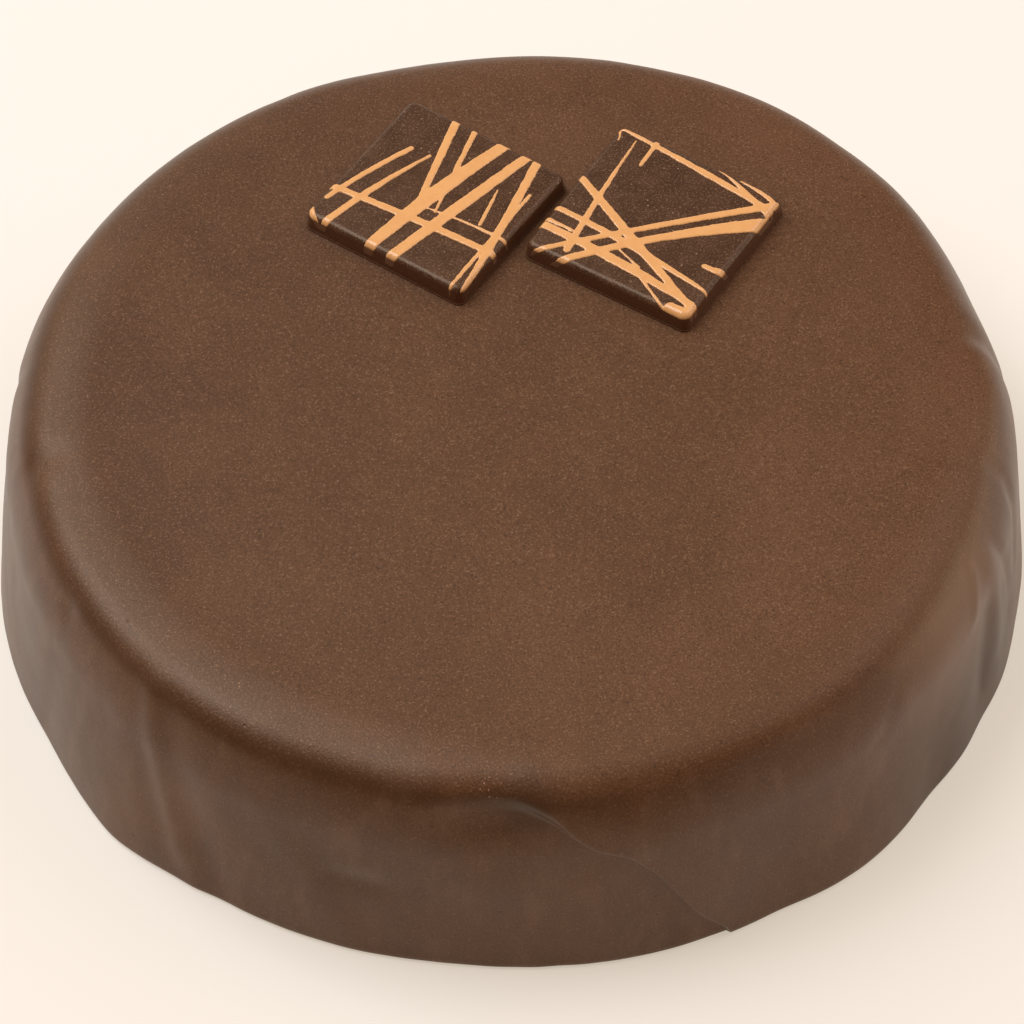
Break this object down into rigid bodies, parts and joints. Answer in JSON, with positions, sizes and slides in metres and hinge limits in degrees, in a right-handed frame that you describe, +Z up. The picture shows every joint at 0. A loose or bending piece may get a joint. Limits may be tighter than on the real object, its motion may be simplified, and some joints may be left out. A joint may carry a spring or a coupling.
{
  "type": "chocolate biscuit cake",
  "caption": "Low round cake under a smooth brown chocolate coat with a rounded rim, decorated with dark chocolate squares drizzled in orange.",
  "frame": {"origin": "the point where the cake's vertical axis meets its flat underside", "axes": "+Z up; -Y towards the viewer of the picture, who sees the lap in the coat at the front and the squares at the back; +X to the viewer's right"},
  "size_m": [0.1895, 0.1897, 0.0479],
  "materials": {
    "chocolate_coat": "satin",
    "dark_chocolate": "satin",
    "drizzle": "satin"
  },
  "bodies": {
    "root": {"cake": "chocolate_coat", "chocolate_square_left": "dark_chocolate", "chocolate_square_right": "dark_chocolate"}
  },
  "joints": []
}
